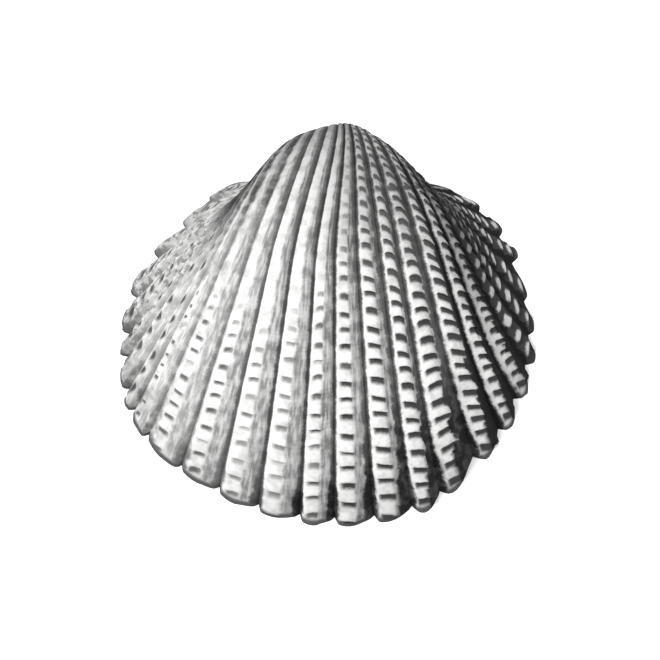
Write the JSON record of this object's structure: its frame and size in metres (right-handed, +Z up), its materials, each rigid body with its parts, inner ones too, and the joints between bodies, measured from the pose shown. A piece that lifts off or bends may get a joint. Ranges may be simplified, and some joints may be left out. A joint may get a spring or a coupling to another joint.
{
  "type": "cockle shell",
  "caption": "Single ribbed cockle valve with scaly ribs, a scalloped edge, a rolled beak and a smooth hollow, lying on its rim.",
  "frame": {"origin": "centre of the bounding box's bottom, in the plane of the rim that the valve lies on", "axes": "+Z up out of the rim plane towards the top of the dome, +Y from the gaping edge towards the beak, +X along the hinge line"},
  "size_m": [0.042, 0.0412, 0.0149],
  "materials": {
    "shell": "chalky matt outside, smoother and slightly satin inside"
  },
  "bodies": {
    "root": {"valve": "shell"}
  },
  "joints": []
}
